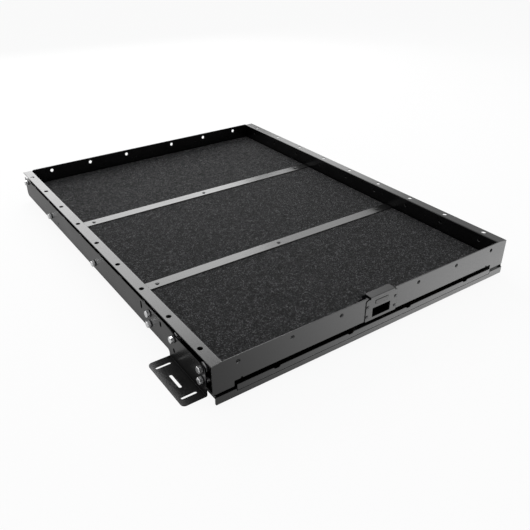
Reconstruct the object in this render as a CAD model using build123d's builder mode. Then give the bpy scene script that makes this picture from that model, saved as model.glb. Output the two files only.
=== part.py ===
"""Pickup bed slide: a sheet steel cargo tray that rolls out of a low base frame.

Millimetres. +Z up from the bed floor, +X to the right, and the tray opens towards -Y.
The origin is on the bed floor, in the middle of the base.
Places along Y are given from the front of the tray, and heights as a drop below its rim.
"""
from build123d import *
import os

os.makedirs("parts", exist_ok=True)

# Overall sizes
tray_width = 1100
tray_length = 1465
rim_height = 122
front_rise = 4
back_rise = 3.5

# Sheet, clearances and small edges
sheet = 2.5
frame_sheet = 3
running_gap = 0.25
turning_gap = 0.05
fit_gap = 0.5
hole_gap = 0.2
bend_outer_radius = 3
soft_edge = 0.8
hex_sides = 6
quarter_turn = 90
half_turn = 180

# Tray sides
rim_width = 34
side_drop = 71
floor_flange = 24
rim_hole_inset = 14.5
rim_hole_first = 78
rim_hole_last = 71.8
rim_hole_count = 9
rim_hole_radius = 7.5
wall_hole_drop = 24
wall_hole_radius = 5

# Front and back panels
leg_width = 62
leg_drop = 88
leg_corner_radius = 3
relief_width = 5
relief_depth = 4
relief_from_leg = 22
panel_hole_drop = 14.5
panel_hole_radius = 6.5
panel_hole_pitch = 164.2
front_hole_inset = 74
back_hole_inset = 112
panel_holes_a_side = 3
back_setback = 2
back_corner_radius = 7

# Floor boards, mats, cross strips and beams
floor_drop = 56
mat_thickness = 3.5
board_gap = 3
board_edge_gap = 1
strips_from_front = (486, 987)
strip_width = 39
strip_thickness = 2.5
strip_edge = 0.5
strip_screw_inset = 98
strip_screw_head_radius = 5
strip_screw_head_height = 2.6
screw_radius = 2.3
socket_radius = 1.6
socket_depth = 1.2
head_crown_radius = 1
beam_width = 50
beam_drop = 79
beam_sheet = 2
nut_radius = 4.6
nut_height = 4

# Track on each side of the tray
track_thickness = 4
track_edge_inset = 9
track_leg = 3
rivet_radius = 2
rivet_head_radius = 3.2
rivet_head_height = 1.2
track_rivet_count = 10
track_rivet_margin = 60

# Base rails and their feet
rail_inset = 4
rail_front_gap = 40
rail_tail_overrun = 9
rail_bottom_height = 21
rail_top_drop = 23
rail_nose_drop = 31
nose_low_length = 150
nose_full_length = 206
rail_nose_radius = 12
rail_tail_radius = 14
rail_flange = 30
foot_reach = 67
foot_length = 195
foot_corner_radius = 12
foot_heel_radius = 10
foot_bend_inner_radius = 1.5
foot_slot_width = 9
foot_side_slot_length = 45
foot_side_slot_inset = 28
foot_side_slot_reach = 34.5
foot_long_slot_length = 60
foot_long_slot_reach = 37
foot_long_slot_from_front = 134

# Front sill and strike strip
sill_stand_out = 5
sill_height = 27
sill_depth = 96
sill_bolt_inset = 13.5
lip_bottom_height = 5
lip_top_height = 27.5
sill_upstand = 6
lip_edge_radius = 1
strike_thickness = 2
strike_half_width = 483
strike_bottom_height = 22.5
strike_seam = 1.6
strike_top_height = 40
strike_corner_radius = 5
strike_notch_width = 22
strike_notch_depth = 5
strike_notch_slope = 45
strike_notches_from_middle = (112, 362)

# Cross members on the bed floor
member_width = 60
member_web_inset = 24
member_top_inset = 8
member_bend_radius = 1.5
front_member_from_front = 370
middle_member_from_front = 960
rear_member_from_back = 25
member_slot_width = 9
member_slot_length = 40
member_slot_from_middle = 380
frame_bolt_inset = 27
frame_bolt_spread = 15
frame_bolt_radius = 3
frame_head_radius = 5.5
frame_head_height = 3

# Rollers and their hex bolts
roller_radius = 15
roller_width = 12
roller_stand_off = 2.3
upper_roller_drop = 43.5
lower_rollers_from_front = (57, 344, 752, 1178)
upper_rollers_from_front = (57, 202, 344)
race_radius = 9
race_collar_radius = 10.5
race_side_gap = 0.3
hex_bolt_radius = 5
washer_radius = 10
washer_thickness = 2
hex_corner_radius = 9.8
hex_head_height = 10
hex_edge = 1
thin_nut_height = 4
bolt_end = 1.4

# Spare slots and hole in the rail web: from the front, drop of the middle, length
spare_slots = ((277, 41.5, 18), (397, 44, 25), (206, 85, 14))
spare_slot_width = 10
spare_hole_from_front = 1103
spare_hole_drop = 80
spare_hole_radius = 4

# Rear hold-down pads
pad_from_back = 30
pad_length = 36
pad_top_drop = 22
pad_bolt_drop = 33
pad_corner_radius = 3

# Stops
stop_half_width = 50
stop_leg_reach = 20
stop_plate_length = 27
stop_plate_overlap = 13
stop_bolt_half_spacing = 35
buffer_radius = 6.5
buffer_length = 6
buffer_height = 34.5
lug_half_width = 22
lug_edge_gap = 4.75
lug_foot_length = 26
lug_bolt_half_spacing = 13

# Corner gussets under the tray
gusset_inset = 6
gusset_side_length = 56
gusset_cross_length = 65
gusset_narrow_end = 20
gusset_rivet_inset = 16
gusset_rivet_edge = 8

# Latch plate, finger cup and blank plate
plate_half_width = 59
plate_thickness = 2
plate_top_drop = 2
plate_bottom_drop = 73
plate_top_radius = 8
plate_bottom_radius = 3
plate_edge = 0.4
finger_half_width = 34
finger_top_drop = 34
finger_bottom_drop = 64
finger_corner_radius = 2
cup_depth = 24
cup_wall = 1.5
blank_half_width = 24.3
blank_top_drop = 11.5
blank_bottom_drop = 22.5
blank_thickness = 1.2
blank_corner_radius = 1.5
plate_screw_half_spacing = 53.5
plate_screw_drops = (25, 57)
plate_screw_head_radius = 4
plate_screw_head_height = 2

# Latch housing, lever, bolt and spring
housing_sheet = 1.5
wall_bend_radius = 1.8
flange_bend_radius = 0.4
housing_half_width = 48
housing_depth = 42
housing_flange_half_width = 62
housing_top_drop = 0.5
housing_slope_start = 16
housing_rear_top_drop = 28
housing_bottom_drop = 70
floor_notch_half_width = 64
floor_notch_depth = 46
flap_half_width = 45.5
flap_thickness = 2
flap_front_gap = 0.5
flap_depth = 26
flap_rear_radius = 3
flap_nose_radius = 1.5
flap_lip_drop = 0.5
rim_notch_half_width = 52
pin_from_front = 8
pin_drop = 4
pin_radius = 2
pin_head_radius = 3.2
pin_head_height = 1.2
cheek_thickness = 2
cheek_side_gap = 1
cheek_front = 4.5
cheek_rear = 34
cheek_front_bottom_drop = 9
cheek_rear_top_drop = 8.5
cheek_rear_bottom_drop = 16
cheek_corner_radius = 2
rod_from_front = 30
rod_drop = 12
rod_radius = 2
rod_play_up = 0.4
rod_play_front = 0.5
rod_play_back = 1.9
latch_bolt_half_width = 10
latch_bolt_front = 25.5
latch_bolt_thickness = 10
latch_bolt_top_drop = 7.5
latch_bolt_tip_gap = 1
latch_bolt_edge = 1.5
guide_half_width = 16
guide_top_drop = 40
guide_bottom_drop = 64
guide_front_wall = 1
spring_wire_radius = 0.45
spring_pitch = 1.5
spring_turns = 6.25
spring_leg = 12

# Places worked out from the sizes above
half_width = tray_width / 2
wall_inner = half_width - rim_width
wall_outer = wall_inner + sheet
rail_length = tray_length - rail_front_gap + rail_tail_overrun
front_y = (sill_stand_out - rail_front_gap - rail_length) / 2
back_y = front_y + tray_length
back_face_y = back_y - back_setback
front_inner_y = front_y + sheet
back_inner_y = back_face_y - sheet
floor_top = rim_height - floor_drop
board_top = floor_top - mat_thickness
pan_bottom = rim_height - side_drop
board_bottom = pan_bottom + sheet
rail_outer = half_width - rail_inset
rail_inner = rail_outer - frame_sheet
rail_front_y = front_y + rail_front_gap
rail_back_y = rail_front_y + rail_length
rail_flange_top = rail_bottom_height + frame_sheet
upper_roller_z = rim_height - upper_roller_drop
track_top = upper_roller_z - roller_radius - running_gap
track_bottom = track_top - track_thickness
lower_roller_z = track_bottom - running_gap - roller_radius
roller_outer = rail_inner - roller_stand_off
roller_inner = roller_outer - roller_width
race_inner = roller_inner - race_side_gap
members_from_front = (
    front_member_from_front,
    middle_member_from_front,
    tray_length - rear_member_from_back,
)
pad_y = back_y - pad_from_back
sill_front_y = front_y - sill_stand_out
stop_leg_front_y = back_inner_y - floor_flange + stop_plate_overlap
stop_leg_rear_y = stop_leg_front_y + frame_sheet
rear_lug_y = stop_leg_rear_y + running_gap + buffer_length
front_lug_y = front_y + front_member_from_front + member_width / 2 - lug_edge_gap
flap_front_y = front_y - plate_thickness - flap_front_gap - flap_thickness
flap_under = rim_height + front_rise
pin_y = front_y + pin_from_front
pin_z = rim_height - pin_drop
cup_half_width = finger_half_width + cup_wall
cup_height = finger_bottom_drop - finger_top_drop + 2 * cup_wall
finger_middle_z = rim_height - (finger_top_drop + finger_bottom_drop) / 2


def height(drop):
    """Z at a drop below the rim."""
    return rim_height - drop


def level_at(z):
    """A level plane facing up."""
    return Plane.XY.offset(z)


def section_at(y):
    """A plane facing -Y, drawn with X across and Z up."""
    return Plane.XZ.offset(-y)


def side_at(x):
    """A plane facing +X, drawn with Y across and Z up."""
    return Plane.YZ.offset(x)


def write(part, name):
    """Label one finished piece and write it to its file."""
    part.label = name
    export_step(part, f"parts/{name}.step")


def write_pair(left_part, name):
    """Write a left piece and its mirror image on the right."""
    write(left_part, f"left_{name}")
    with BuildPart() as right:
        mirror(left_part, about=Plane.YZ)
    write(right.part, f"right_{name}")


def write_both_sides(left_part, name):
    """Write a left group and its mirror image as one group."""
    with BuildPart() as group:
        add(left_part)
        mirror(left_part, about=Plane.YZ)
    write(group.part, name)


def gathered(parts):
    """Separate pieces as one group."""
    with BuildPart() as group:
        add(parts)
    return group.part


# Fasteners and other turned pieces

def turned(plane_at, places, steps):
    """Round pieces along one direction: each step has a start, a length and a radius."""
    with BuildPart() as piece:
        for start, length, radius in steps:
            with BuildSketch(plane_at(start)):
                with Locations(*places):
                    Circle(radius)
            extrude(amount=length)
    return piece.part


def bored(plane_at, places, steps, bore_radius):
    """Turned pieces with one bore through all their steps."""
    solid_steps = turned(plane_at, places, steps)
    whole_length = sum(length for start, length, radius in steps)
    with BuildPart() as piece:
        add(solid_steps)
        with BuildSketch(plane_at(steps[0][0])):
            with Locations(*places):
                Circle(bore_radius)
        extrude(amount=whole_length, mode=Mode.SUBTRACT)
    return piece.part


def hex_nuts(plane_at, places, start, thick, corner_radius, bore_radius):
    """Hex nuts that stand on a plane."""
    with BuildPart() as nuts:
        with BuildSketch(plane_at(start)):
            with Locations(*places):
                RegularPolygon(corner_radius, hex_sides)
            with Locations(*places):
                Circle(bore_radius, mode=Mode.SUBTRACT)
        extrude(amount=thick)
    return nuts.part


def socket_screws(seat, places, head_radius, head_height, shank_radius, shank_length):
    """Screws with a low crowned head and a hex socket, standing out of their seat plane."""
    outwards = Axis(seat.origin, seat.z_dir)
    with BuildPart() as screws:
        with BuildSketch(seat):
            with Locations(*places):
                Circle(head_radius)
        extrude(amount=head_height)
        fillet(screws.edges().group_by(outwards)[-1], radius=head_crown_radius)
        with BuildSketch(seat.offset(head_height)):
            with Locations(*places):
                RegularPolygon(socket_radius, hex_sides)
        extrude(amount=-socket_depth, mode=Mode.SUBTRACT)
        with BuildSketch(seat):
            with Locations(*places):
                Circle(shank_radius)
        extrude(amount=-shank_length)
    return screws.part


def left_hex_bolts(places):
    """Hex bolts through the left rail, heads outwards with chamfered corners."""
    seat_x = -rail_outer - washer_thickness
    head_x = seat_x - hex_head_height
    end_x = -race_inner + thin_nut_height + bolt_end
    crowns = turned(side_at, places, ((head_x, hex_head_height, hex_corner_radius),))
    crowns = chamfer(crowns.edges().group_by(Axis.X)[0], length=hex_edge)
    with BuildPart() as bolts:
        with BuildSketch(side_at(head_x)):
            with Locations(*places):
                RegularPolygon(hex_corner_radius, hex_sides)
        extrude(amount=hex_head_height)
        add(crowns, mode=Mode.INTERSECT)
        with BuildSketch(side_at(seat_x)):
            with Locations(*places):
                Circle(hex_bolt_radius)
        extrude(amount=end_x - seat_x)
    return bolts.part


# Places that several pieces share

def both_sides(points):
    """Points on the left with their mirror images on the right."""
    return points + [(-x, other) for x, other in points]


def rim_hole_places():
    """Y of the holes in each side."""
    pitch = (tray_length - rim_hole_first - rim_hole_last) / (rim_hole_count - 1)
    return [front_y + rim_hole_first + number * pitch for number in range(rim_hole_count)]


def panel_hole_places(inset):
    """X and Z of the holes in the front and back panels."""
    first = inset - half_width
    row = [first + number * panel_hole_pitch for number in range(panel_holes_a_side)]
    return both_sides([(x, height(panel_hole_drop)) for x in row])


def strip_screw_places():
    """X and Y of the six screws through the cross strips."""
    side = half_width - strip_screw_inset
    return [(x, front_y + place) for place in strips_from_front for x in (-side, 0, side)]


def track_rivet_places():
    """Y and Z of the rivets that hold a track to its wall."""
    step = (tray_length - 2 * track_rivet_margin) / (track_rivet_count - 1)
    first = front_y + track_rivet_margin
    rivet_z = track_bottom - rivet_head_radius - fit_gap
    return [(first + number * step, rivet_z) for number in range(track_rivet_count)]


def side_gusset_rivets():
    """X and Y of the gusset rivets in the left floor flange."""
    x = gusset_rivet_inset - wall_inner
    far = gusset_inset + gusset_side_length - gusset_rivet_inset
    return [(x, front_inner_y + far), (x, back_inner_y - far)]


def cross_gusset_rivets(inner_y, way):
    """X and Y of the gusset rivets in the front or back floor flange."""
    x = gusset_inset + gusset_cross_length - gusset_rivet_edge - wall_inner
    return both_sides([(x, inner_y + way * gusset_rivet_inset)])


def gusset_rivet_places():
    """X and Y of all eight gusset rivets."""
    cross_rivets = cross_gusset_rivets(front_inner_y, 1) + cross_gusset_rivets(back_inner_y, -1)
    return both_sides(side_gusset_rivets()) + cross_rivets


def stop_bolt_places():
    """X and Y of the two bolts of the stop bracket."""
    return both_sides([(-stop_bolt_half_spacing, stop_leg_front_y - stop_plate_overlap / 2)])


def lug_bolt_places(lug_y):
    """X and Y of the two bolts in a stop lug's foot."""
    return both_sides([(-lug_bolt_half_spacing, lug_y - lug_foot_length / 2)])


def roller_axes():
    """Y and Z of each roller axis on one side, the lower ones first."""
    lower = [(front_y + place, lower_roller_z) for place in lower_rollers_from_front]
    upper = [(front_y + place, upper_roller_z) for place in upper_rollers_from_front]
    return lower + upper


def pad_bolt_place():
    """Y and Z of the hold-down pad's bolt."""
    return (pad_y, height(pad_bolt_drop))


def member_bolt_places(place):
    """X and Y of the bolts that hold one cross member to the left rail."""
    return [(frame_bolt_inset - half_width, front_y + place + way * frame_bolt_spread) for way in (-1, 1)]


def sill_bolt_place():
    """X and Y of the bolt that holds the sill to the left rail."""
    return (frame_bolt_inset - half_width, sill_front_y + sill_depth - sill_bolt_inset)


def plate_screw_places():
    """X and Z of the four screws of the latch plate."""
    return both_sides([(-plate_screw_half_spacing, height(drop)) for drop in plate_screw_drops])


# Tray

def side_panel():
    """Folded side: rim outwards, wall, and floor flange inwards."""
    with BuildPart() as panel:
        with BuildSketch(section_at(back_y)):
            with BuildLine():
                inner_face = FilletPolyline(
                    (-half_width, rim_height),
                    (-wall_inner, rim_height),
                    (-wall_inner, board_bottom),
                    (floor_flange - wall_inner, board_bottom),
                    radius=(bend_outer_radius, bend_outer_radius - sheet),
                )
                offset(inner_face, amount=sheet, side=Side.RIGHT)
            make_face()
        extrude(amount=back_y - front_inner_y)
        with BuildSketch(level_at(rim_height)):
            with Locations(*[(rim_hole_inset - half_width, y) for y in rim_hole_places()]):
                Circle(rim_hole_radius)
        extrude(amount=-sheet, mode=Mode.SUBTRACT)
        with BuildSketch(side_at(-wall_outer)):
            with Locations(*[(y, height(wall_hole_drop)) for y in rim_hole_places()]):
                Circle(wall_hole_radius)
            with Locations(*track_rivet_places()):
                Circle(rivet_radius + hole_gap)
        extrude(amount=sheet, mode=Mode.SUBTRACT)
        with BuildSketch(level_at(pan_bottom)):
            with Locations(*side_gusset_rivets()):
                Circle(rivet_radius + hole_gap)
        extrude(amount=sheet, mode=Mode.SUBTRACT)
    return panel.part


def front_panel():
    """Front plate with a leg at each end, a finger opening and a floor flange."""
    leg_inner = half_width - leg_width
    relief_x = leg_inner - relief_from_leg
    flange_end = relief_x - relief_width / 2
    flange_length = flange_end - housing_flange_half_width
    flange_middle = (flange_end + housing_flange_half_width) / 2
    right_edge = [
        (half_width, rim_height),
        (half_width, height(leg_drop)),
        (leg_inner, height(leg_drop)),
        (leg_inner, pan_bottom),
    ]
    left_edge = [(-x, z) for x, z in reversed(right_edge)]
    top_edge = [(-wall_inner, flap_under), (wall_inner, flap_under)]
    with BuildPart() as panel:
        with BuildSketch(section_at(front_inner_y)) as plate:
            with BuildLine():
                Polyline(*top_edge, *right_edge, *left_edge, close=True)
            make_face()
            fillet(plate.vertices().group_by(Axis.Y)[0], radius=leg_corner_radius)
            with Locations((0, flap_under)):
                Rectangle(2 * rim_notch_half_width, 2 * front_rise, mode=Mode.SUBTRACT)
            with Locations(*panel_hole_places(front_hole_inset)):
                Circle(panel_hole_radius, mode=Mode.SUBTRACT)
            with Locations((-relief_x, pan_bottom), (relief_x, pan_bottom)):
                Rectangle(relief_width, 2 * relief_depth, mode=Mode.SUBTRACT)
            with Locations((0, finger_middle_z)):
                Rectangle(2 * (cup_half_width + fit_gap), cup_height + 2 * fit_gap, mode=Mode.SUBTRACT)
            with Locations(*plate_screw_places()):
                Circle(screw_radius + hole_gap, mode=Mode.SUBTRACT)
        extrude(amount=sheet)
        with BuildSketch(level_at(pan_bottom)):
            with Locations(*both_sides([(-flange_middle, front_inner_y + floor_flange / 2)])):
                Rectangle(flange_length, floor_flange)
            with Locations(*cross_gusset_rivets(front_inner_y, 1)):
                Circle(rivet_radius + hole_gap, mode=Mode.SUBTRACT)
        extrude(amount=sheet)
    return panel.part


def back_panel():
    """Back plate between the side walls, with a floor flange inwards."""
    half = wall_inner - fit_gap
    flange_half = wall_inner - floor_flange - fit_gap
    tall = side_drop + back_rise
    corner = half - flange_half
    with BuildPart() as panel:
        with BuildSketch(section_at(back_face_y)) as plate:
            with Locations((0, pan_bottom + tall / 2)):
                Rectangle(2 * half, tall)
            fillet(plate.vertices().group_by(Axis.Y)[-1], radius=back_corner_radius)
            with Locations(*both_sides([(-flange_half - corner / 2, pan_bottom)])):
                Rectangle(corner, 2 * (sheet + fit_gap), mode=Mode.SUBTRACT)
            with Locations(*panel_hole_places(back_hole_inset)):
                Circle(panel_hole_radius, mode=Mode.SUBTRACT)
        extrude(amount=sheet)
        with BuildSketch(level_at(pan_bottom)):
            with Locations((0, back_inner_y - floor_flange / 2)):
                Rectangle(2 * flange_half, floor_flange)
            with Locations(*cross_gusset_rivets(back_inner_y, -1)):
                Circle(rivet_radius + hole_gap, mode=Mode.SUBTRACT)
            with Locations(*stop_bolt_places()):
                Circle(frame_bolt_radius + hole_gap, mode=Mode.SUBTRACT)
        extrude(amount=sheet)
    return panel.part


def corner_gussets():
    """Four plates under the floor flanges at the tray corners."""
    near_x = gusset_inset - wall_inner
    far_x = near_x + gusset_cross_length
    side_end_x = near_x + gusset_narrow_end
    with BuildPart() as gussets:
        with BuildSketch(level_at(pan_bottom - sheet)):
            for corner_y, way in (
                (front_inner_y + gusset_inset, 1),
                (back_inner_y - gusset_inset, -1),
            ):
                with BuildLine():
                    Polyline(
                        (near_x, corner_y),
                        (far_x, corner_y),
                        (far_x, corner_y + way * gusset_narrow_end),
                        (side_end_x, corner_y + way * gusset_side_length),
                        (near_x, corner_y + way * gusset_side_length),
                        close=True,
                    )
                make_face()
            mirror(about=Plane.YZ)
            with Locations(*gusset_rivet_places()):
                Circle(rivet_radius + hole_gap, mode=Mode.SUBTRACT)
        extrude(amount=sheet)
    return gussets.part


def tray_rivets():
    """Rivets of the gussets, from below, and of both tracks, from outside."""
    gusset_under = pan_bottom - sheet
    track_outer = -wall_outer - track_leg
    gusset_steps = (
        (gusset_under - rivet_head_height, rivet_head_height, rivet_head_radius),
        (gusset_under, 2 * sheet, rivet_radius),
    )
    track_steps = (
        (track_outer - rivet_head_height, rivet_head_height, rivet_head_radius),
        (track_outer, track_leg + sheet, rivet_radius),
    )
    gusset_rivets = turned(level_at, gusset_rivet_places(), gusset_steps)
    left_rivets = turned(side_at, track_rivet_places(), track_steps)
    return gathered([gusset_rivets, left_rivets, left_rivets.mirror(Plane.YZ)])


def floor_spans():
    """Start and end of the three floor pieces, measured from the tray front."""
    half_gap = board_gap / 2
    first, second = strips_from_front
    rear_end = back_inner_y - front_y - board_edge_gap
    return [
        (sheet + board_edge_gap, first - half_gap),
        (first + half_gap, second - half_gap),
        (second + half_gap, rear_end),
    ]


def floor_piece(span, bottom, thickness):
    """One board or mat, clear of the cross strip screws and of the latch."""
    start, end = span
    with BuildPart() as piece:
        with BuildSketch(level_at(bottom)):
            with Locations((0, front_y + (start + end) / 2)):
                Rectangle(2 * (wall_inner - board_edge_gap), end - start)
            with Locations(*strip_screw_places()):
                Circle(screw_radius + fit_gap, mode=Mode.SUBTRACT)
            with Locations((0, front_y)):
                Rectangle(2 * floor_notch_half_width, 2 * floor_notch_depth, mode=Mode.SUBTRACT)
        extrude(amount=thickness)
    return piece.part


def cross_strip(place):
    """Flat strip over the joint of two mats."""
    with BuildPart() as strip:
        with BuildSketch(level_at(floor_top)):
            with Locations((0, front_y + place)):
                Rectangle(2 * (wall_inner - board_edge_gap), strip_width)
            with Locations(*strip_screw_places()):
                Circle(screw_radius + hole_gap, mode=Mode.SUBTRACT)
        extrude(amount=strip_thickness)
        chamfer(strip.faces().sort_by(Axis.Z)[-1].outer_wire().edges(), length=strip_edge)
    return strip.part


def under_beam(place):
    """Hat section under a floor joint; its webs run on under the side flanges."""
    top_half = wall_inner - floor_flange - fit_gap
    beam_bottom = height(beam_drop)
    middle_y = front_y + place
    web_y = (beam_width - beam_sheet) / 2
    web_places = [(0, middle_y - web_y), (0, middle_y + web_y)]
    with BuildPart() as beam:
        with BuildSketch(level_at(beam_bottom)):
            with Locations(*web_places):
                Rectangle(2 * wall_inner, beam_sheet)
        extrude(amount=pan_bottom - beam_bottom)
        with BuildSketch(level_at(pan_bottom)):
            with Locations(*web_places):
                Rectangle(2 * top_half, beam_sheet)
        extrude(amount=sheet)
        with BuildSketch(level_at(board_bottom)):
            with Locations((0, middle_y)):
                Rectangle(2 * top_half, beam_width)
            with Locations(*strip_screw_places()):
                Circle(screw_radius + hole_gap, mode=Mode.SUBTRACT)
        extrude(amount=-beam_sheet)
    return beam.part


def track_angle():
    """Angle outside the wall: a level leg between the rollers and a leg down the wall."""
    edge_x = track_edge_inset - half_width
    leg_x = -wall_outer - track_leg
    with BuildPart() as track:
        with BuildSketch(section_at(back_face_y)):
            with BuildLine():
                Polyline(
                    (edge_x, track_top),
                    (-wall_outer, track_top),
                    (-wall_outer, pan_bottom),
                    (leg_x, pan_bottom),
                    (leg_x, track_bottom),
                    (edge_x, track_bottom),
                    close=True,
                )
            make_face()
        extrude(amount=back_face_y - front_inner_y)
        with BuildSketch(side_at(leg_x)):
            with Locations(*track_rivet_places()):
                Circle(rivet_radius + hole_gap)
        extrude(amount=track_leg, mode=Mode.SUBTRACT)
    return track.part


# Stops

def stop_bracket():
    """Angle under the back floor flange; its leg runs between the two buffers."""
    plate_z = pan_bottom - frame_sheet
    plate_front_y = stop_leg_front_y - stop_plate_length
    with BuildPart() as bracket:
        with BuildSketch(level_at(plate_z)):
            with Locations((0, (plate_front_y + stop_leg_rear_y) / 2)):
                Rectangle(2 * stop_half_width, stop_leg_rear_y - plate_front_y)
            with Locations(*stop_bolt_places()):
                Circle(frame_bolt_radius + hole_gap, mode=Mode.SUBTRACT)
        extrude(amount=frame_sheet)
        with BuildSketch(level_at(plate_z)):
            with Locations((0, (stop_leg_front_y + stop_leg_rear_y) / 2)):
                Rectangle(2 * stop_half_width, frame_sheet)
        extrude(amount=frame_sheet - stop_leg_reach)
    return bracket.part


def stop_lug(lug_y):
    """Angle on a cross member: an upright plate behind its foot."""
    top_z = buffer_height + buffer_radius
    with BuildPart() as lug:
        with BuildSketch(level_at(rail_bottom_height)):
            with Locations((0, lug_y + frame_sheet / 2)):
                Rectangle(2 * lug_half_width, frame_sheet)
        extrude(amount=top_z - rail_bottom_height)
        with BuildSketch(level_at(rail_bottom_height)):
            with Locations((0, lug_y - lug_foot_length / 2)):
                Rectangle(2 * lug_half_width, lug_foot_length)
            with Locations(*lug_bolt_places(lug_y)):
                Circle(frame_bolt_radius + hole_gap, mode=Mode.SUBTRACT)
        extrude(amount=frame_sheet)
    return lug.part


def stop_buffers():
    """Two rubber buffers: behind the front lug and ahead of the rear lug."""
    with BuildPart() as rubbers:
        for end_y in (front_lug_y + frame_sheet + buffer_length, rear_lug_y):
            with BuildSketch(section_at(end_y)):
                with Locations((0, buffer_height)):
                    Circle(buffer_radius)
            extrude(amount=buffer_length)
        chamfer(rubbers.edges().filter_by(GeomType.CIRCLE), length=soft_edge)
    return rubbers.part


# Base frame

def rail_web():
    """Upright rail plate with its foot's leg, and all its holes."""
    foot_middle_y = rail_front_y + foot_length / 2
    with BuildPart() as web:
        with BuildSketch(side_at(-rail_outer)) as face:
            with BuildLine():
                Polyline(
                    (rail_front_y, rail_bottom_height),
                    (rail_front_y, height(rail_nose_drop)),
                    (rail_front_y + nose_low_length, height(rail_nose_drop)),
                    (rail_front_y + nose_full_length, height(rail_top_drop)),
                    (rail_back_y, height(rail_top_drop)),
                    (rail_back_y, rail_bottom_height),
                    close=True,
                )
            make_face()
            front_top = face.vertices().group_by(Axis.X)[0].sort_by(Axis.Y)[-1]
            fillet(front_top, radius=rail_nose_radius)
            rear_bottom = face.vertices().group_by(Axis.X)[-1].sort_by(Axis.Y)[0]
            fillet(rear_bottom, radius=rail_tail_radius)
            with Locations((foot_middle_y, rail_bottom_height / 2)):
                Rectangle(foot_length, rail_bottom_height)
            with Locations(*roller_axes(), pad_bolt_place()):
                Circle(hex_bolt_radius + hole_gap, mode=Mode.SUBTRACT)
            for place, drop, length in spare_slots:
                with Locations((front_y + place, height(drop))):
                    SlotOverall(length, spare_slot_width, rotation=quarter_turn, mode=Mode.SUBTRACT)
            with Locations((front_y + spare_hole_from_front, height(spare_hole_drop))):
                Circle(spare_hole_radius, mode=Mode.SUBTRACT)
        extrude(amount=frame_sheet)
    return web.part


def near(edges, axis, value):
    """Edges whose place along an axis is close to a value."""
    return edges.filter_by_position(axis, value - fit_gap, value + fit_gap)


def base_rail():
    """Rail web with its bottom flange inwards and a slotted foot outwards."""
    outer_x = -rail_outer
    foot_edge_x = outer_x - foot_reach
    foot_back_y = rail_front_y + foot_length
    foot_middle_y = rail_front_y + foot_length / 2
    side_slot_x = outer_x - foot_side_slot_reach
    flange_start = rail_front_y + rail_nose_radius
    flange_end = rail_back_y - rail_tail_radius
    bolt_places = [sill_bolt_place()]
    for place in members_from_front:
        bolt_places += member_bolt_places(place)
    web = rail_web()
    with BuildPart() as rail:
        add(web)
        heel = near(near(rail.edges().filter_by(Axis.X), Axis.Y, foot_back_y), Axis.Z, rail_bottom_height)
        fillet(heel, radius=foot_heel_radius)
        with BuildSketch(level_at(0)) as foot:
            with Locations(((foot_edge_x + outer_x + frame_sheet) / 2, foot_middle_y)):
                Rectangle(foot_reach + frame_sheet, foot_length)
            fillet(foot.vertices().group_by(Axis.X)[0], radius=foot_corner_radius)
            with Locations(
                (side_slot_x, rail_front_y + foot_side_slot_inset),
                (side_slot_x, foot_back_y - foot_side_slot_inset),
            ):
                SlotOverall(foot_side_slot_length, foot_slot_width, mode=Mode.SUBTRACT)
            with Locations((outer_x - foot_long_slot_reach, front_y + foot_long_slot_from_front)):
                SlotOverall(foot_long_slot_length, foot_slot_width, rotation=quarter_turn, mode=Mode.SUBTRACT)
        extrude(amount=frame_sheet)
        inner_bend = near(near(rail.edges().filter_by(Axis.Y), Axis.X, outer_x), Axis.Z, frame_sheet)
        fillet(inner_bend, radius=foot_bend_inner_radius)
        outer_bend = rail.edges().filter_by(Axis.Y).group_by(Axis.Z)[0].sort_by(Axis.X)[-1]
        fillet(outer_bend, radius=foot_bend_inner_radius + frame_sheet)
        with BuildSketch(level_at(rail_bottom_height)):
            with Locations((outer_x + rail_flange / 2, (flange_start + flange_end) / 2)):
                Rectangle(rail_flange, flange_end - flange_start)
            with Locations(*bolt_places):
                Circle(frame_bolt_radius + hole_gap, mode=Mode.SUBTRACT)
        extrude(amount=frame_sheet)
    return rail.part


def front_sill():
    """Ledge across the front with an upright lip, a recess for the strip and an upstand at each end."""
    ledge_under = sill_height - frame_sheet
    wide_end_y = rail_front_y - fit_gap
    narrow_end_y = sill_front_y + sill_depth
    narrow_half = rail_inner - running_gap
    upstand_length = wide_end_y - sill_front_y - frame_sheet
    recess_bottom = strike_bottom_height - strike_seam
    with BuildPart() as sill:
        with BuildSketch(level_at(ledge_under)):
            with Locations((0, (sill_front_y + wide_end_y) / 2)):
                Rectangle(2 * rail_outer, wide_end_y - sill_front_y)
            with Locations((0, (wide_end_y + narrow_end_y) / 2)):
                Rectangle(2 * narrow_half, narrow_end_y - wide_end_y)
            with Locations(*both_sides([sill_bolt_place()])):
                Circle(frame_bolt_radius + hole_gap, mode=Mode.SUBTRACT)
        extrude(amount=frame_sheet)
        with BuildSketch(section_at(sill_front_y + frame_sheet)) as lip:
            with Locations((0, (lip_bottom_height + lip_top_height) / 2)):
                Rectangle(2 * rail_outer, lip_top_height - lip_bottom_height)
            fillet(lip.vertices().group_by(Axis.Y)[0], radius=leg_corner_radius)
        extrude(amount=frame_sheet)
        with BuildSketch(section_at(sill_front_y + strike_thickness)):
            with Locations((0, (recess_bottom + lip_top_height) / 2)):
                Rectangle(2 * (strike_half_width + strike_seam), lip_top_height - recess_bottom)
        extrude(amount=strike_thickness, mode=Mode.SUBTRACT)
        with BuildSketch(level_at(sill_height)):
            with Locations(*both_sides([(frame_sheet / 2 - rail_outer, wide_end_y - upstand_length / 2)])):
                Rectangle(frame_sheet, upstand_length)
        extrude(amount=sill_upstand)
        top_front = sill.edges().filter_by(Axis.X).group_by(Axis.Y)[0].group_by(Axis.Z)[-1]
        fillet(top_front, radius=lip_edge_radius)
    return sill.part


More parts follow.
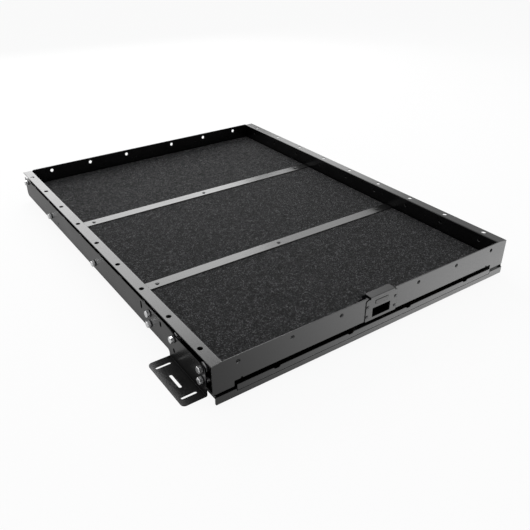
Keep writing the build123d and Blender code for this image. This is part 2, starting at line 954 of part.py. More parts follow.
def strike_strip():
    """Upright strip set in the sill's lip, with four notches in its top edge."""
    tall = strike_top_height - strike_bottom_height
    notch_z = strike_top_height - strike_notch_depth / 2
    with BuildPart() as strip:
        with BuildSketch(section_at(sill_front_y + strike_thickness)) as face:
            with Locations((0, strike_bottom_height + tall / 2)):
                Rectangle(2 * strike_half_width, tall)
            fillet(face.vertices().group_by(Axis.Y)[0], radius=strike_corner_radius)
            with Locations(*both_sides([(-place, notch_z) for place in strike_notches_from_middle])):
                Trapezoid(
                    strike_notch_width,
                    strike_notch_depth,
                    strike_notch_slope,
                    rotation=half_turn,
                    mode=Mode.SUBTRACT,
                )
        extrude(amount=strike_thickness)
        front_edges = strip.faces().sort_by(Axis.Y)[0].outer_wire().edges()
        chamfer(front_edges.filter_by(Axis.X).group_by(Axis.Z)[-1], length=strip_edge)
    return strip.part


def cross_member(place, slotted, lug_bolts):
    """Channel on the bed floor, open downwards, with its top reaching under the rails."""
    middle_y = front_y + place
    web_y = (member_width - frame_sheet) / 2
    top_z = rail_bottom_height
    with BuildPart() as member:
        with BuildSketch(level_at(0)):
            with Locations((0, middle_y - web_y), (0, middle_y + web_y)):
                Rectangle(2 * (half_width - member_web_inset), frame_sheet)
        extrude(amount=top_z - frame_sheet)
        with BuildSketch(level_at(top_z)):
            with Locations((0, middle_y)):
                Rectangle(2 * (half_width - member_top_inset), member_width)
            with Locations(*both_sides(member_bolt_places(place)), *lug_bolts):
                Circle(frame_bolt_radius + hole_gap, mode=Mode.SUBTRACT)
            if slotted:
                with Locations((-member_slot_from_middle, middle_y), (member_slot_from_middle, middle_y)):
                    SlotOverall(member_slot_length, member_slot_width, mode=Mode.SUBTRACT)
        extrude(amount=-frame_sheet)
        top_bends = member.edges().filter_by(Axis.X).group_by(Axis.Z)[-1]
        fillet(top_bends, radius=member_bend_radius)
    return member.part


def frame_bolts():
    """Bolts of the cross members, the stop lugs and the sill."""
    left_places = []
    for place in members_from_front:
        left_places += member_bolt_places(place)
    flange_places = both_sides(left_places)
    lug_places = lug_bolt_places(front_lug_y) + lug_bolt_places(rear_lug_y)
    sill_places = both_sides([sill_bolt_place()])
    sizes = (frame_head_radius, frame_head_height, frame_bolt_radius, 2 * frame_sheet)
    low_seat = level_at(rail_flange_top)
    sill_seat = level_at(sill_height)
    return gathered([
        socket_screws(low_seat, flange_places + lug_places, *sizes),
        socket_screws(sill_seat, sill_places, *sizes),
    ])


# Rollers

def roller(axis_place):
    """Bearing roller on the left, turning about X."""
    with BuildPart() as wheel:
        with BuildSketch(side_at(-roller_outer)):
            with Locations(axis_place):
                Circle(roller_radius)
                Circle(race_radius + turning_gap, mode=Mode.SUBTRACT)
        extrude(amount=roller_width)
        rims = wheel.edges().filter_by(GeomType.CIRCLE).group_by(SortBy.RADIUS)[-1]
        chamfer(rims, length=soft_edge)
    return wheel.part


def roller_races():
    """Inner rings on the left, each with a collar against the web."""
    collar = roller_stand_off - race_side_gap
    steps = (
        (-rail_inner, collar, race_collar_radius),
        (-rail_inner + collar, roller_width + 2 * race_side_gap, race_radius),
    )
    return bored(side_at, roller_axes(), steps, hex_bolt_radius + hole_gap)


def hold_down_pad():
    """Plastic block over the track at the rear of the left rail."""
    bottom_z = track_top + running_gap
    top_z = height(pad_top_drop)
    with BuildPart() as pad:
        with BuildSketch(side_at(-rail_inner)) as block:
            with Locations((pad_y, (bottom_z + top_z) / 2)):
                Rectangle(pad_length, top_z - bottom_z)
            fillet(block.vertices(), radius=pad_corner_radius)
            with Locations(pad_bolt_place()):
                Circle(hex_bolt_radius + hole_gap, mode=Mode.SUBTRACT)
        extrude(amount=rail_inner - race_inner)
    return pad.part


# Latch

def latch_plate():
    """Face plate with the finger opening."""
    top_z = height(plate_top_drop)
    bottom_z = height(plate_bottom_drop)
    with BuildPart() as plate:
        with BuildSketch(section_at(front_y)) as face:
            with Locations((0, (top_z + bottom_z) / 2)):
                Rectangle(2 * plate_half_width, top_z - bottom_z)
            fillet(face.vertices().group_by(Axis.Y)[-1], radius=plate_top_radius)
            fillet(face.vertices().group_by(Axis.Y)[0], radius=plate_bottom_radius)
            with Locations((0, finger_middle_z)):
                RectangleRounded(
                    2 * finger_half_width,
                    finger_bottom_drop - finger_top_drop,
                    finger_corner_radius,
                    mode=Mode.SUBTRACT,
                )
            with Locations(*plate_screw_places()):
                Circle(screw_radius + hole_gap, mode=Mode.SUBTRACT)
        extrude(amount=plate_thickness)
        chamfer(plate.faces().sort_by(Axis.Y)[0].outer_wire().edges(), length=plate_edge)
    return plate.part


def blank_plate():
    """Bare plate above the finger opening."""
    top_z = height(blank_top_drop)
    bottom_z = height(blank_bottom_drop)
    with BuildPart() as blank:
        with BuildSketch(section_at(front_y - plate_thickness)):
            with Locations((0, (top_z + bottom_z) / 2)):
                RectangleRounded(2 * blank_half_width, top_z - bottom_z, blank_corner_radius)
        extrude(amount=blank_thickness)
    return blank.part


def finger_cup():
    """Cup behind the finger opening, open to the front."""
    with BuildPart() as cup:
        with BuildSketch(section_at(front_y + cup_depth)):
            with Locations((0, finger_middle_z)):
                Rectangle(2 * cup_half_width, cup_height)
        extrude(amount=cup_depth)
        with BuildSketch(section_at(front_y + cup_depth - cup_wall)):
            with Locations((0, finger_middle_z)):
                Rectangle(2 * finger_half_width, cup_height - 2 * cup_wall)
        extrude(amount=cup_depth - cup_wall, mode=Mode.SUBTRACT)
    return cup.part


def latch_housing():
    """Folded housing behind the front panel, open above and below, its top sloping to the rear."""
    flange_y = front_inner_y + housing_sheet
    rear_y = front_y + housing_depth
    bottom_z = height(housing_bottom_drop)
    with BuildPart() as housing:
        with BuildSketch(level_at(bottom_z)):
            with BuildLine():
                outer_face = FilletPolyline(
                    (-housing_flange_half_width, flange_y),
                    (-housing_half_width, flange_y),
                    (-housing_half_width, rear_y),
                    (housing_half_width, rear_y),
                    (housing_half_width, flange_y),
                    (housing_flange_half_width, flange_y),
                    radius=(flange_bend_radius, wall_bend_radius, wall_bend_radius, flange_bend_radius),
                )
                offset(outer_face, amount=housing_sheet, side=Side.RIGHT)
            make_face()
        extrude(amount=height(housing_top_drop) - bottom_z)
        with BuildSketch(side_at(-housing_half_width)):
            with Locations((pin_y, pin_z)):
                Circle(pin_radius)
            with BuildLine():
                Polyline(
                    (front_y + housing_slope_start, height(housing_top_drop)),
                    (rear_y, height(housing_rear_top_drop)),
                    (rear_y, height(housing_top_drop)),
                    close=True,
                )
            make_face()
        extrude(amount=2 * housing_half_width, mode=Mode.SUBTRACT)
        with BuildSketch(section_at(flange_y)):
            with Locations(*plate_screw_places()):
                Circle(screw_radius + hole_gap)
        extrude(amount=housing_sheet, mode=Mode.SUBTRACT)
    return housing.part


def lever_pin():
    """Hinge pin of the flap, with a head at each end."""
    steps = (
        (-housing_half_width - pin_head_height, pin_head_height, pin_head_radius),
        (-housing_half_width, 2 * housing_half_width, pin_radius),
        (housing_half_width, pin_head_height, pin_head_radius),
    )
    return turned(side_at, [(pin_y, pin_z)], steps)


def cheek_corners():
    """Corners of a lever cheek in Y and Z."""
    return [
        (front_y + cheek_front, flap_under),
        (flap_front_y + flap_depth - flap_thickness, flap_under),
        (front_y + cheek_rear, height(cheek_rear_top_drop)),
        (front_y + cheek_rear, height(cheek_rear_bottom_drop)),
        (front_y + cheek_front, height(cheek_front_bottom_drop)),
    ]


def latch_lever():
    """Flap with a front lip, two cheeks on the pin and the lift rod between them."""
    cheek_outer = housing_half_width - housing_sheet - cheek_side_gap
    rod_half = cheek_outer - cheek_thickness
    lip_bottom = height(flap_lip_drop)
    with BuildPart() as lever:
        with BuildSketch(level_at(flap_under)) as flap:
            with Locations((0, flap_front_y + flap_depth / 2)):
                Rectangle(2 * flap_half_width, flap_depth)
            fillet(flap.vertices().group_by(Axis.Y)[-1], radius=flap_rear_radius)
        extrude(amount=flap_thickness)
        with BuildSketch(section_at(flap_front_y + flap_thickness)):
            with Locations((0, (flap_under + lip_bottom) / 2)):
                Rectangle(2 * flap_half_width, flap_under - lip_bottom)
        extrude(amount=flap_thickness)
        nose = lever.edges().filter_by(Axis.X).group_by(Axis.Z)[-1].sort_by(Axis.Y)[0]
        fillet(nose, radius=flap_nose_radius)
        for start in (-cheek_outer, rod_half):
            with BuildSketch(side_at(start)) as cheek:
                with BuildLine():
                    Polyline(*cheek_corners(), close=True)
                make_face()
                fillet(cheek.vertices().group_by(Axis.X)[-1], radius=cheek_corner_radius)
                with Locations((pin_y, pin_z)):
                    Circle(pin_radius + turning_gap, mode=Mode.SUBTRACT)
            extrude(amount=cheek_thickness)
        with BuildSketch(side_at(-rod_half)):
            with Locations((front_y + rod_from_front, height(rod_drop))):
                Circle(rod_radius)
        extrude(amount=2 * rod_half)
    return lever.part


def latch_bolt():
    """Upright bar behind the finger cup with a cross slot for the lift rod."""
    tip_z = strike_top_height + latch_bolt_tip_gap
    slot_front = front_y + rod_from_front - rod_radius - rod_play_front
    slot_back = front_y + rod_from_front + rod_radius + rod_play_back
    with BuildPart() as bolt:
        with BuildSketch(level_at(tip_z)):
            with Locations((0, front_y + latch_bolt_front + latch_bolt_thickness / 2)):
                Rectangle(2 * latch_bolt_half_width, latch_bolt_thickness)
        extrude(amount=height(latch_bolt_top_drop) - tip_z)
        chamfer(bolt.edges().group_by(Axis.Z)[0], length=latch_bolt_edge)
        with BuildSketch(side_at(-latch_bolt_half_width)):
            with Locations(((slot_front + slot_back) / 2, height(rod_drop))):
                Rectangle(slot_back - slot_front, 2 * (rod_radius + rod_play_up))
        extrude(amount=2 * latch_bolt_half_width, mode=Mode.SUBTRACT)
    return bolt.part


def bolt_guide():
    """Block on the housing's rear wall that the latch bolt slides through."""
    front = front_y + latch_bolt_front - running_gap - guide_front_wall
    rear = front_y + housing_depth - housing_sheet
    with BuildPart() as guide:
        with BuildSketch(level_at(height(guide_bottom_drop))):
            with Locations((0, (front + rear) / 2)):
                Rectangle(2 * guide_half_width, rear - front)
            with Locations((0, front_y + latch_bolt_front + latch_bolt_thickness / 2)):
                Rectangle(
                    2 * (latch_bolt_half_width + running_gap),
                    latch_bolt_thickness + 2 * running_gap,
                    mode=Mode.SUBTRACT,
                )
        extrude(amount=guide_bottom_drop - guide_top_drop)
    return guide.part


def lever_spring():
    """Torsion spring round the lever pin; its straight leg lies on the front panel."""
    long = spring_pitch * spring_turns
    coil_radius = pin_from_front - sheet - spring_wire_radius
    with BuildPart() as spring:
        with BuildLine():
            coil = Helix(
                pitch=spring_pitch,
                height=long,
                radius=coil_radius,
                center=(-long / 2, 0, 0),
                direction=(1, 0, 0),
            )
            Line(coil @ 1, coil @ 1 + (coil % 1) * spring_leg)
        with BuildSketch(Plane(origin=coil @ 0, z_dir=coil % 0)):
            Circle(spring_wire_radius)
        sweep()
    return spring.part.moved(Location((0, pin_y, pin_z)))


# Tray pieces
write_pair(side_panel(), "side_panel")
write(front_panel(), "front_panel")
write(back_panel(), "back_panel")
write(corner_gussets(), "corner_gussets")
write(tray_rivets(), "tray_rivets")
for floor_name, floor_span in zip(("front", "middle", "rear"), floor_spans()):
    write(floor_piece(floor_span, board_bottom, board_top - board_bottom), f"{floor_name}_board")
    write(floor_piece(floor_span, board_top, mat_thickness), f"{floor_name}_mat")
for strip_name, strip_place in zip(("front", "rear"), strips_from_front):
    write(cross_strip(strip_place), f"{strip_name}_cross_strip")
write(gathered([under_beam(strip_place) for strip_place in strips_from_front]), "under_beams")
strip_seat = floor_top + strip_thickness
strip_nut_z = board_bottom - beam_sheet - nut_height
write(
    socket_screws(
        level_at(strip_seat),
        strip_screw_places(),
        strip_screw_head_radius,
        strip_screw_head_height,
        screw_radius,
        strip_seat - strip_nut_z,
    ),
    "strip_screws",
)
write_pair(track_angle(), "track_angle")
write(stop_bracket(), "stop_bracket")
stop_seat = Plane(origin=(0, 0, pan_bottom - frame_sheet), x_dir=(1, 0, 0), z_dir=(0, 0, -1))
write(
    socket_screws(
        stop_seat,
        [(x, -y) for x, y in stop_bolt_places()],
        frame_head_radius,
        frame_head_height,
        frame_bolt_radius,
        frame_sheet + sheet,
    ),
    "stop_bracket_bolts",
)

# Base frame and stops
write_pair(base_rail(), "base_rail")
write(front_sill(), "front_sill")
write(strike_strip(), "strike_strip")
write(cross_member(members_from_front[0], False, lug_bolt_places(front_lug_y)), "front_cross_member")
write(cross_member(members_from_front[1], False, []), "middle_cross_member")
write(cross_member(members_from_front[2], True, lug_bolt_places(rear_lug_y)), "rear_cross_member")
write(frame_bolts(), "frame_bolts")
write(gathered([stop_lug(front_lug_y), stop_lug(rear_lug_y)]), "stop_lugs")
write(stop_buffers(), "stop_buffers")

# Rollers, hold-down pads and their hex bolts
for roller_number, roller_axis in enumerate(roller_axes(), start=1):
    write_pair(roller(roller_axis), f"roller_{roller_number}")
rail_bolt_places = roller_axes() + [pad_bolt_place()]
washer_steps = ((-rail_outer - washer_thickness, washer_thickness, washer_radius),)
rail_nuts = hex_nuts(
    side_at,
    rail_bolt_places,
    -race_inner,
    thin_nut_height,
    hex_corner_radius,
    hex_bolt_radius + turning_gap,
)
write_both_sides(roller_races(), "roller_races")
write_both_sides(hold_down_pad(), "hold_down_pads")
write_both_sides(left_hex_bolts(rail_bolt_places), "hex_bolts")
write_both_sides(bored(side_at, rail_bolt_places, washer_steps, hex_bolt_radius + hole_gap), "washers")
write_both_sides(rail_nuts, "hex_nuts")

# Latch
plate_nut_y = front_inner_y + housing_sheet + nut_height
strip_nuts = hex_nuts(
    level_at, strip_screw_places(), strip_nut_z, nut_height, nut_radius, screw_radius + turning_gap
)
plate_nuts = hex_nuts(
    section_at, plate_screw_places(), plate_nut_y, nut_height, nut_radius, screw_radius + turning_gap
)
write(gathered([strip_nuts, plate_nuts]), "tray_nuts")
write(latch_plate(), "latch_plate")
write(blank_plate(), "blank_plate")
write(
    socket_screws(
        section_at(front_y - plate_thickness),
        plate_screw_places(),
        plate_screw_head_radius,
        plate_screw_head_height,
        screw_radius,
        plate_thickness + plate_nut_y - front_y,
    ),
    "plate_screws",
)
write(finger_cup(), "finger_cup")
write(latch_housing(), "latch_housing")
write(lever_pin(), "lever_pin")
write(latch_lever(), "latch_lever")
write(latch_bolt(), "latch_bolt")
write(bolt_guide(), "bolt_guide")
write(lever_spring(), "lever_spring")
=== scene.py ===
"""Looks of the pickup bed slide: its finishes, its carpet mats and the studio that it stands in."""

import math

import bmesh
import bpy
from mathutils import Matrix, Vector, noise


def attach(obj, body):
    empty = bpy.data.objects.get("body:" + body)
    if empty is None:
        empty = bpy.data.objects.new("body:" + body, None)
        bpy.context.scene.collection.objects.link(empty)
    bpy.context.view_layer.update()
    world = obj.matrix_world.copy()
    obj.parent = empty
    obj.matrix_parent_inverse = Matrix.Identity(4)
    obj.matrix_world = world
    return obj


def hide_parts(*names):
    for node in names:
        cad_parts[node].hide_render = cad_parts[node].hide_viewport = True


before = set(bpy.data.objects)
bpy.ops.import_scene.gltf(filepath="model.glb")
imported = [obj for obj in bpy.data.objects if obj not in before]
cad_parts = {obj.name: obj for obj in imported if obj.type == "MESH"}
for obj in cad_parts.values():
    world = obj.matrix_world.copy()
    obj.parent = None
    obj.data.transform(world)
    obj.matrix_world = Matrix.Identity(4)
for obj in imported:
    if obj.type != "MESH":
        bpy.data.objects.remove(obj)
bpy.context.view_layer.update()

# The camera of the photograph, worked out from the tray's straight edges. Metres; the lens in millimetres.
camera_place = Vector((-1.0954, -1.7301, 1.0659))
camera_heading = math.radians(35.043)
camera_drop = math.radians(30.519)
camera_right = Vector((0.81890, -0.57394, 0.00053))
camera_lens = 42.22
sensor_width = 36.0
nearest_seen, farthest_seen = 0.05, 60.0

white = (1.0, 1.0, 1.0, 1.0)

# The usual span of a noise's values, from its low patches to its high ones.
noise_span = (0.3, 0.7)
wide_span = (0.25, 0.75)


# Node helpers

def add(tree, kind, inputs=None, **settings):
    """A new shader node. Inputs are values or sockets, by name or number."""
    made = tree.nodes.new("ShaderNode" + kind)
    for key, value in settings.items():
        setattr(made, key, value)
    for key, value in (inputs or {}).items():
        if isinstance(value, bpy.types.NodeSocket):
            tree.links.new(value, made.inputs[key])
        else:
            made.inputs[key].default_value = value
    return made


def place_on_object(tree):
    return add(tree, "TexCoord").outputs["Object"]


def noise_of(tree, place, scale, detail=2.0, rough=0.5, twist=0.0):
    inputs = {"Vector": place, "Scale": scale, "Detail": detail, "Roughness": rough, "Distortion": twist}
    return add(tree, "TexNoise", inputs).outputs[0]


def ramp(tree, value, low, high, to_low=0.0, to_high=1.0):
    inputs = {"Value": value, "From Min": low, "From Max": high, "To Min": to_low, "To Max": to_high}
    return add(tree, "MapRange", inputs, clamp=True).outputs[0]


def sum_of(tree, first, second):
    return add(tree, "Math", {0: first, 1: second}, operation="ADD").outputs[0]


def product(tree, first, second):
    return add(tree, "Math", {0: first, 1: second}, operation="MULTIPLY").outputs[0]


def larger(tree, first, second):
    return add(tree, "Math", {0: first, 1: second}, operation="MAXIMUM").outputs[0]


def blend_of(tree, share, first, second):
    return add(tree, "Mix", {0: share, 6: first, 7: second}, data_type="RGBA").outputs[2]


def grey(level, tint=0.0):
    return (level, level, level + tint, 1.0)


def stretched(tree, place, by):
    return add(tree, "Mapping", {"Vector": place, "Scale": by}).outputs[0]


def new_material(name):
    material = bpy.data.materials.new(name)
    material.use_nodes = True
    material.node_tree.nodes.clear()
    return material, material.node_tree


def close_material(tree, inputs):
    shader = add(tree, "BsdfPrincipled", inputs)
    add(tree, "OutputMaterial", {"Surface": shader.outputs[0]})


def bump(tree, height, strength, distance, normal=None):
    inputs = {"Height": height, "Strength": strength, "Distance": distance}
    if normal is not None:
        inputs["Normal"] = normal
    return add(tree, "Bump", inputs).outputs[0]


# Finishes

# Painted shade: gloss fades where a surface runs into a seam or a corner: reach in metres, then shut and open
# shares.
seam_openness = (0.005, 0.66, 0.97)
corner_openness = (0.05, 0.2, 0.6)
coat_specular = 0.5
coat_ior = 1.5

# How far the normals of a worn edge and of the flat face beside it agree, from face to edge.
edge_agreement = (0.995, 0.86)
node_samples = 6

coat_level, coat_roughness = 0.0007, 0.24
coat_edge_radius, latch_edge_radius = 0.0009, 0.0005
thin_edge_radius, bolt_edge_radius, rubber_edge_radius = 0.0005, 0.0032, 0.0006
bare_metal_level, palest_metal = 0.105, 0.92


def rounded_edges(tree, radius):
    """The normal of an edge softened by a coat, and how much of an edge each point is."""
    soft = add(tree, "Bevel", {"Radius": radius}, samples=node_samples).outputs[0]
    flat = add(tree, "NewGeometry").outputs["Normal"]
    agree = add(tree, "VectorMath", {0: soft, 1: flat}, operation="DOT_PRODUCT").outputs["Value"]
    return soft, ramp(tree, agree, *edge_agreement)


def openness(tree, reach, low, high):
    """How open each point is within a reach: 1 out in the open, 0 in a seam or a deep corner."""
    shaded = add(tree, "AmbientOcclusion", {"Distance": reach}, samples=node_samples).outputs["AO"]
    return ramp(tree, shaded, low, high)


def powder_coat(name, level, roughness, edge_radius=coat_edge_radius):
    material, tree = new_material(name)
    place = place_on_object(tree)
    soft, edge = rounded_edges(tree, edge_radius)
    patches = noise_of(tree, place, 9.0, 3.0)
    scuffs = noise_of(tree, stretched(tree, place, (1.0, 0.35, 1.0)), 160.0, 4.0, 0.7)
    peel = noise_of(tree, place, 620.0, 2.0)
    grain = noise_of(tree, place, 2600.0, 1.0)
    worn = product(tree, edge, ramp(tree, scuffs, 0.42, 0.66))
    tone = blend_of(tree, ramp(tree, patches, *noise_span), grey(level * 0.86), grey(level * 1.14, 0.0002))
    colour = blend_of(tree, product(tree, worn, 0.55), tone, grey(bare_metal_level, 0.004))
    rough = sum_of(tree, ramp(tree, patches, *wide_span, roughness - 0.025, roughness + 0.035),
                   ramp(tree, scuffs, 0.62, 0.8, 0.0, 0.07))
    normal = bump(tree, peel, 0.16, 0.00025, soft)
    normal = bump(tree, grain, 0.10, 0.00008, normal)
    # Painted shade: the coat's gloss is dimmed in seams and deep corners by how open each point is.
    seam_shaded_gloss = product(tree, openness(tree, *seam_openness), openness(tree, *corner_openness))
    close_material(tree, {"Base Color": colour, "Roughness": rough, "IOR": coat_ior, "Normal": normal,
                          "Specular IOR Level": product(tree, seam_shaded_gloss, coat_specular)})
    return material


def plated(name, level, roughness, tint, metal=1.0, edge_radius=thin_edge_radius):
    material, tree = new_material(name)
    place = place_on_object(tree)
    soft, edge = rounded_edges(tree, edge_radius)
    cloud = noise_of(tree, place, 140.0, 3.0)
    scratches = noise_of(tree, stretched(tree, place, (1.0, 4.0, 0.4)), 900.0, 3.0, 0.6)
    dull, bright = grey(level * 0.9, tint * 0.4), grey(level * 1.05, tint)
    tone = blend_of(tree, ramp(tree, cloud, *noise_span), dull, bright)
    colour = blend_of(tree, product(tree, edge, 0.35), tone, grey(min(level * 1.25, palest_metal), tint))
    rough = sum_of(tree, ramp(tree, cloud, *wide_span, roughness - 0.04, roughness + 0.05),
                   ramp(tree, scratches, 0.55, 0.8, 0.0, 0.08))
    normal = bump(tree, scratches, 0.12, 0.00005, soft)
    close_material(tree, {"Base Color": colour, "Metallic": metal, "Roughness": rough, "Normal": normal})
    return material


def matt(name, level, roughness, grain_scale):
    material, tree = new_material(name)
    place = place_on_object(tree)
    soft, edge = rounded_edges(tree, rubber_edge_radius)
    grain = noise_of(tree, place, grain_scale, 3.0, 0.6)
    tone = blend_of(tree, ramp(tree, grain, *noise_span), grey(level * 0.8), grey(level * 1.2))
    colour = blend_of(tree, product(tree, edge, 0.3), tone, grey(level * 2.4))
    rough = ramp(tree, grain, *noise_span, roughness - 0.06, roughness + 0.06)
    normal = bump(tree, grain, 0.2, 0.0002, soft)
    close_material(tree, {"Base Color": colour, "Roughness": rough, "Normal": normal})
    return material


pale_wood, warm_wood = (0.52, 0.38, 0.24, 1.0), (0.36, 0.24, 0.14, 1.0)
pore_brown, glue_brown = (0.2, 0.12, 0.07, 1.0), (0.24, 0.15, 0.09, 1.0)


def plywood(name):
    material, tree = new_material(name)
    place = place_on_object(tree)
    grain = noise_of(tree, stretched(tree, place, (1.0, 14.0, 14.0)), 9.0, 6.0, 0.6, 0.6)
    pores = noise_of(tree, stretched(tree, place, (1.0, 22.0, 22.0)), 60.0, 3.0, 0.6)
    inputs = {"Vector": place, "Scale": 210.0, "Distortion": 0.6, "Detail": 2.0}
    plies = add(tree, "TexWave", inputs, bands_direction="Z").outputs[1]
    tone = blend_of(tree, ramp(tree, grain, *noise_span), warm_wood, pale_wood)
    colour = blend_of(tree, ramp(tree, pores, 0.58, 0.75, 0.0, 0.5), tone, pore_brown)
    colour = blend_of(tree, ramp(tree, plies, *noise_span, 0.0, 0.18), colour, glue_brown)
    rough = ramp(tree, pores, *noise_span, 0.55, 0.72)
    normal = bump(tree, pores, 0.25, 0.0003)
    close_material(tree, {"Base Color": colour, "Roughness": rough, "Normal": normal})
    return material


felt_roughness, felt_specular = 0.95, 0.15


def felt_carpet(name):
    """Black needle felt: pale flecks of fibre, thicker on the tufts, over a base with faint lanes."""
    material, tree = new_material(name)
    place = place_on_object(tree)
    curls = noise_of(tree, place, 165.0, 1.0, 0.5, 2.2)
    tufts = noise_of(tree, place, 70.0, 2.0, 0.6, 0.8)
    fibres = noise_of(tree, place, 520.0, 1.0, 0.6, 1.0)
    lanes = noise_of(tree, stretched(tree, place, (1.0, 0.15, 1.0)), 16.0, 2.0)
    base = blend_of(tree, ramp(tree, tufts, *noise_span), grey(0.0045), grey(0.0125, 0.0005))
    base = blend_of(tree, ramp(tree, lanes, *noise_span, 0.0, 0.3), base, grey(0.012))
    specks = product(tree, ramp(tree, curls, 0.54, 0.62), ramp(tree, fibres, 0.4, 0.58))
    specks = product(tree, specks, ramp(tree, tufts, 0.38, 0.62, 0.5, 1.0))
    colour = blend_of(tree, specks, base, grey(0.175, 0.005))
    height = sum_of(tree, product(tree, curls, 0.7), product(tree, fibres, 0.3))
    close_material(tree, {"Base Color": colour, "Roughness": felt_roughness,
                          "Specular IOR Level": felt_specular, "Normal": bump(tree, height, 0.9, 0.0016)})
    return material


finishes = {
    "black_frame": powder_coat("frame_coat", coat_level, coat_roughness),
    "black_tray": powder_coat("tray_coat", coat_level, coat_roughness),
    "black_latch": powder_coat("latch_coat", coat_level, coat_roughness, latch_edge_radius),
    "zinc": plated("zinc_plate", 0.92, 0.14, 0.006, 0.8, bolt_edge_radius),
    "dark_screws": plated("black_oxide", 0.055, 0.3, 0.002),
    "steel": plated("ground_steel", 0.5, 0.28, 0.006),
    "rubber": matt("black_rubber", 0.02, 0.75, 700.0),
    "nylon": matt("roller_nylon", 0.028, 0.5, 900.0),
    "board": plywood("raw_plywood"),
    "carpet": felt_carpet("needle_felt"),
}

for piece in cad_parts.values():
    for slot in piece.material_slots:
        slot.material = finishes[slot.material.name]


# Carpet mats. Metres.

mat_bottom = 0.0625
mat_top = 0.0657
mat_half_width = 0.5150
pile_pitch = 0.0042
mat_spans = {"front_mat": (-0.7310, -0.2500), "middle_mat": (-0.2470, 0.2510), "rear_mat": (0.2540, 0.7250)}
notch_half_width = 0.0640
notch_end = -0.6885
edge_steps = (0.0, 0.0007, 0.0018, 0.0032)
edge_drop = 0.0013
tuft_scale, tuft_height = 150.0, 0.00034
swell_scale, swell_height = 9.0, 0.0002


def grid_lines(low, high, extra=()):
    """Places along one side of a mat: close together at its edges, a tuft apart between them."""
    edges = [low, *extra, high]
    lines = []
    for start, end in zip(edges, edges[1:]):
        inner_low, inner_high = start + edge_steps[-1], end - edge_steps[-1]
        count = max(1, round((inner_high - inner_low) / pile_pitch))
        lines += [start + step for step in edge_steps[:-1]]
        lines += [inner_low + (inner_high - inner_low) * i / count for i in range(count + 1)]
        lines += [end - step for step in reversed(edge_steps[1:-1])]
    return lines + [high]


def carpet_mat(name, node, low, high, notched):
    xs = grid_lines(-mat_half_width, mat_half_width, (-notch_half_width, notch_half_width) if notched else ())
    ys = grid_lines(low, high, (notch_end,) if notched else ())

    def cut_away(x, y):
        return notched and abs(x) < notch_half_width and y < notch_end

    def edge_distance(x, y):
        nearest = min(mat_half_width - abs(x), y - low, high - y)
        if not notched:
            return nearest
        across = abs(x) - notch_half_width
        along = y - notch_end
        if across >= 0 and along >= 0:
            return min(nearest, math.hypot(across, along))
        return min(nearest, max(across, along))

    def level(x, y):
        drop = max(0.0, 1.0 - edge_distance(x, y) / edge_steps[-1])
        tuft = noise.noise(Vector((x, y, 0.31)) * tuft_scale)
        swell = noise.noise(Vector((x, y, 1.7)) * swell_scale)
        return mat_top + tuft_height * tuft * (1 - drop) + swell_height * swell - edge_drop * drop ** 2

    mesh = bmesh.new()
    tops = {}
    for i, x in enumerate(xs):
        for j, y in enumerate(ys):
            if not cut_away(x, y):
                tops[i, j] = mesh.verts.new((x, y, level(x, y)))
    for i in range(len(xs) - 1):
        for j in range(len(ys) - 1):
            if cut_away((xs[i] + xs[i + 1]) / 2, (ys[j] + ys[j + 1]) / 2):
                continue
            corners = [tops[i, j], tops[i + 1, j], tops[i + 1, j + 1], tops[i, j + 1]]
            mesh.faces.new(corners).smooth = True
    rim = [edge for edge in mesh.edges if edge.is_boundary]
    walls = bmesh.ops.extrude_edge_only(mesh, edges=rim)["geom"]
    foot = [part for part in walls if isinstance(part, bmesh.types.BMVert)]
    for vert in foot:
        vert.co.z = mat_bottom
    bmesh.ops.contextual_create(mesh, geom=[edge for edge in mesh.edges if edge.is_boundary])
    bmesh.ops.recalc_face_normals(mesh, faces=mesh.faces)
    data = bpy.data.meshes.new(name)
    mesh.to_mesh(data)
    mesh.free()
    data.materials.append(finishes["carpet"])
    mat = bpy.data.objects.new(name, data)
    bpy.context.scene.collection.objects.link(mat)
    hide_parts(node)
    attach(mat, "tray")
    return mat


for node, (low, high) in mat_spans.items():
    carpet_mat(node + "_carpet", node, low, high, node == "front_mat")


# Studio

# How bright the sky is, and how much of its white backdrop mirrors show.
sky_tint, sky_strength = (0.96, 0.98, 1.0, 1.0), 0.42
sky_in_mirrors = 0.8

# The paper floor: its greys, how much of it a camera ray sees as plain white, how bright it stands in
# mirrors, and the border of the painted shadow under the object there, from the middle outwards.
floor_half_size, floor_drop = 16.0, 0.0006
paper_greys = (0.86, 0.9)
floor_white_share = 0.92
floor_in_mirrors = 0.51
painted_shadow_beside, painted_shadow_before = (0.52, 0.57), (0.70, 0.74)

# Lamps: place, aim, size, watts, and for two of them the shares of the width between which they dim.
aim = (0.0, 0.0, 0.08)
lamps = {
    "back_box": ((0.40, 2.80, 1.65), aim, (2.94, 2.4), 84.0),
    "wing_box": ((2.45, 2.05, 1.5), aim, (1.5, 2.2), 17.0, (0.62, 0.0)),
    "top_box": ((0.3, -0.4, 3.4), aim, (3.0, 3.0), 30.0),
    "front_card": ((0.25, -0.9575, 0.002), (0.25, -0.9575, 1.0), (2.2, 0.485), 7.1, (0.41, 0.97)),
}


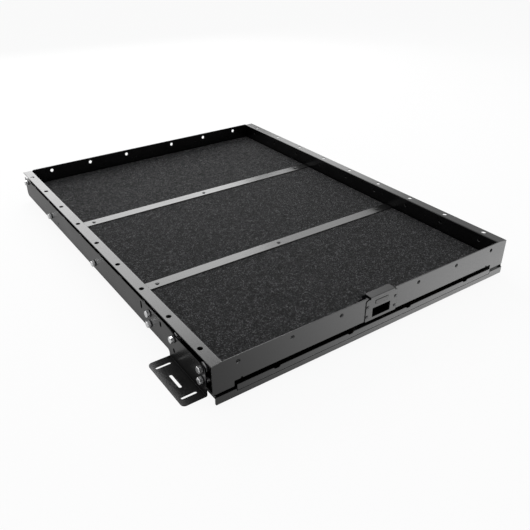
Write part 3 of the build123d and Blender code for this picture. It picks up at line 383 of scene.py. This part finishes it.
def soft_box(name, place, target, size, power, fade=None):
    """A rectangular lamp. With a fade, it dims from full to nothing between two shares of its width."""
    data = bpy.data.lights.new(name, "AREA")
    data.shape = "RECTANGLE"
    data.size, data.size_y = size
    data.energy = power
    if fade:
        data.use_nodes = True
        tree = data.node_tree
        tree.nodes.clear()
        across = add(tree, "SeparateXYZ", {0: add(tree, "NewGeometry").outputs["Parametric"]}).outputs[0]
        inputs = {"Value": across, "From Min": fade[0], "From Max": fade[1], "To Min": 1.0, "To Max": 0.0}
        share = add(tree, "MapRange", inputs, interpolation_type="SMOOTHSTEP").outputs[0]
        add(tree, "OutputLight", {0: add(tree, "Emission", {"Strength": share}).outputs[0]})
    lamp = bpy.data.objects.new(name, data)
    bpy.context.scene.collection.objects.link(lamp)
    lamp.location = place
    lamp.rotation_mode = "QUATERNION"
    lamp.rotation_quaternion = (Vector(target) - Vector(place)).to_track_quat("-Z", "Y")
    lamp.visible_camera = False
    return lamp


def seen_directly(tree, to_camera, in_mirrors):
    """One share for camera rays, another for mirror and glass rays, and 0 for the rest."""
    path = add(tree, "LightPath")
    mirrored = larger(tree, path.outputs["Is Glossy Ray"], path.outputs["Is Transmission Ray"])
    direct = product(tree, path.outputs["Is Camera Ray"], to_camera)
    return larger(tree, direct, product(tree, mirrored, in_mirrors))


def studio_world():
    world = bpy.data.worlds.new("studio")
    bpy.context.scene.world = world
    world.use_nodes = True
    tree = world.node_tree
    tree.nodes.clear()
    around = add(tree, "Background", {"Color": sky_tint, "Strength": sky_strength})
    behind = add(tree, "Background", {"Color": white, "Strength": 1.0})
    seen = seen_directly(tree, 1.0, sky_in_mirrors)
    mixed = add(tree, "MixShader", {0: seen, 1: around.outputs[0], 2: behind.outputs[0]})
    add(tree, "OutputWorld", {"Surface": mixed.outputs[0]})


def studio_floor():
    material, tree = new_material("floor_paper")
    place = place_on_object(tree)
    mottle = noise_of(tree, place, 3.0, 3.0)
    paper = add(tree, "BsdfDiffuse", {"Color": blend_of(tree, mottle, *map(grey, paper_greys))})
    glow = add(tree, "Emission", {"Color": white, "Strength": 1.0})
    to_camera = seen_directly(tree, floor_white_share, 0.0)
    seen = add(tree, "MixShader", {0: to_camera, 1: paper.outputs[0], 2: glow.outputs[0]})
    # Painted shadow: in mirrors the floor glows outside the object's footprint and stays dark inside it.
    spot = add(tree, "SeparateXYZ", {0: add(tree, "VectorMath", {0: place}, operation="ABSOLUTE").outputs[0]})
    beside = ramp(tree, spot.outputs[0], *painted_shadow_beside)
    before = ramp(tree, spot.outputs[1], *painted_shadow_before)
    outside_painted_shadow = larger(tree, beside, before)
    mirrored = add(tree, "Emission", {"Color": white, "Strength": product(tree, outside_painted_shadow, floor_in_mirrors)})
    in_mirrors = seen_directly(tree, 0.0, 1.0)
    mixed = add(tree, "MixShader", {0: in_mirrors, 1: seen.outputs[0], 2: mirrored.outputs[0]})
    add(tree, "OutputMaterial", {"Surface": mixed.outputs[0]})
    mesh = bmesh.new()
    bmesh.ops.create_grid(mesh, x_segments=8, y_segments=8, size=floor_half_size)
    data = bpy.data.meshes.new("floor")
    mesh.to_mesh(data)
    mesh.free()
    data.materials.append(material)
    floor = bpy.data.objects.new("floor", data)
    floor.location.z = -floor_drop
    bpy.context.scene.collection.objects.link(floor)


def photo_camera():
    data = bpy.data.cameras.new("camera")
    data.lens = camera_lens
    data.sensor_width = sensor_width
    data.clip_start, data.clip_end = nearest_seen, farthest_seen
    camera = bpy.data.objects.new("camera", data)
    bpy.context.scene.collection.objects.link(camera)
    forward = Vector((math.sin(camera_heading) * math.cos(camera_drop),
                      math.cos(camera_heading) * math.cos(camera_drop), -math.sin(camera_drop)))
    up = camera_right.cross(forward).normalized()
    right = forward.cross(up).normalized()
    turn = Matrix((right, up, -forward)).transposed()
    camera.matrix_world = Matrix.Translation(camera_place) @ turn.to_4x4()
    bpy.context.scene.camera = camera


studio_world()
studio_floor()
photo_camera()
for name, about in lamps.items():
    soft_box(name, *about)

bpy.context.scene.view_settings.view_transform = "Standard"
